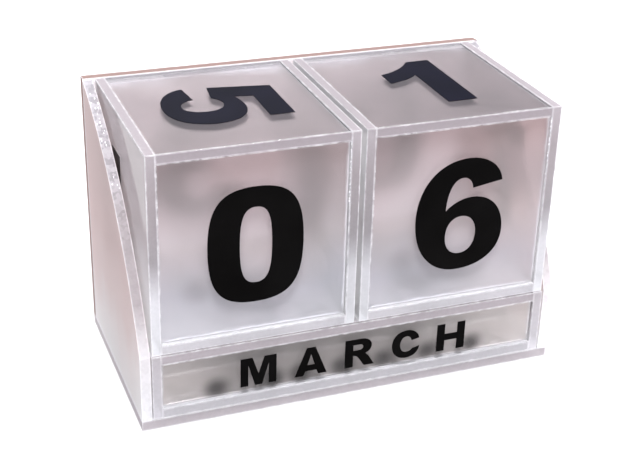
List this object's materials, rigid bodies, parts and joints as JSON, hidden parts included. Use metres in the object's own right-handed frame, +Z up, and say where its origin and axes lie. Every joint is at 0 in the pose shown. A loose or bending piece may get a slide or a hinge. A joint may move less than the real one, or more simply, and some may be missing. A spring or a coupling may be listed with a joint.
{
  "type": "perpetual block calendar",
  "caption": "Frosted acrylic desk calendar: an open stand with swept side plates holds three square month bars, and two numbered day cubes stand on them.",
  "frame": {"origin": "middle of the base plate's underside, where the calendar rests on the desk", "axes": "+Z up; -Y is the front, which shows the day and month; +X is to the right seen from the front"},
  "size_m": [0.1072, 0.0536, 0.0697],
  "materials": {
    "stand_acrylic": "clear sheet with a frosted face and polished edges",
    "cube_acrylic": "glossy outside, frosted inside, bright glued edges",
    "bar_acrylic": "glossy outside, frosted inside, bright glued edges",
    "black_vinyl": "smooth cut vinyl with a soft sheen"
  },
  "bodies": {
    "stand": {"back_plate": "stand_acrylic", "base_plate": "stand_acrylic", "left_side_plate": "stand_acrylic", "right_side_plate": "stand_acrylic"},
    "tens_cube": {"tens_cube_back_panel": "cube_acrylic", "tens_cube_bottom_panel": "cube_acrylic", "tens_cube_digit_five": "black_vinyl", "tens_cube_digit_four": "black_vinyl", "tens_cube_digit_one": "black_vinyl", "tens_cube_digit_three": "black_vinyl", "tens_cube_digit_two": "black_vinyl", "tens_cube_digit_zero": "black_vinyl", "tens_cube_front_panel": "cube_acrylic", "tens_cube_left_panel": "cube_acrylic", "tens_cube_right_panel": "cube_acrylic", "tens_cube_top_panel": "cube_acrylic"},
    "units_cube": {"units_cube_back_panel": "cube_acrylic", "units_cube_bottom_panel": "cube_acrylic", "units_cube_digit_eight": "black_vinyl", "units_cube_digit_one": "black_vinyl", "units_cube_digit_seven": "black_vinyl", "units_cube_digit_six": "black_vinyl", "units_cube_digit_two": "black_vinyl", "units_cube_digit_zero": "black_vinyl", "units_cube_front_panel": "cube_acrylic", "units_cube_left_panel": "cube_acrylic", "units_cube_right_panel": "cube_acrylic", "units_cube_top_panel": "cube_acrylic"},
    "rear_bar": {"rear_bar_back_panel": "bar_acrylic", "rear_bar_bottom_panel": "bar_acrylic", "rear_bar_front_panel": "bar_acrylic", "rear_bar_left_cap": "bar_acrylic", "rear_bar_right_cap": "bar_acrylic", "rear_bar_top_panel": "bar_acrylic", "month_september": "black_vinyl", "month_october": "black_vinyl", "month_november": "black_vinyl", "month_december": "black_vinyl"},
    "middle_bar": {"middle_bar_back_panel": "bar_acrylic", "middle_bar_bottom_panel": "bar_acrylic", "middle_bar_front_panel": "bar_acrylic", "middle_bar_left_cap": "bar_acrylic", "middle_bar_right_cap": "bar_acrylic", "middle_bar_top_panel": "bar_acrylic", "month_may": "black_vinyl", "month_june": "black_vinyl", "month_july": "black_vinyl", "month_august": "black_vinyl"},
    "front_bar": {"front_bar_back_panel": "bar_acrylic", "front_bar_bottom_panel": "bar_acrylic", "front_bar_front_panel": "bar_acrylic", "front_bar_left_cap": "bar_acrylic", "front_bar_right_cap": "bar_acrylic", "front_bar_top_panel": "bar_acrylic", "month_march": "black_vinyl", "month_april": "black_vinyl", "month_january": "black_vinyl", "month_february": "black_vinyl"}
  },
  "joints": [
    {"name": "tens_cube_lift", "type": "slide", "parent": "stand", "child": "tens_cube", "axis": [0, 0, 1], "range_m": [0, 0.055]},
    {"name": "units_cube_lift", "type": "slide", "parent": "stand", "child": "units_cube", "axis": [0, 0, 1], "range_m": [0, 0.055]},
    {"name": "rear_bar_pull", "type": "slide", "parent": "stand", "child": "rear_bar", "axis": [0, -1, 0], "range_m": [0, 0.052]},
    {"name": "middle_bar_pull", "type": "slide", "parent": "rear_bar", "child": "middle_bar", "axis": [0, -1, 0], "range_m": [0, 0.035]},
    {"name": "front_bar_pull", "type": "slide", "parent": "middle_bar", "child": "front_bar", "axis": [0, -1, 0], "range_m": [0, 0.018]}
  ]
}
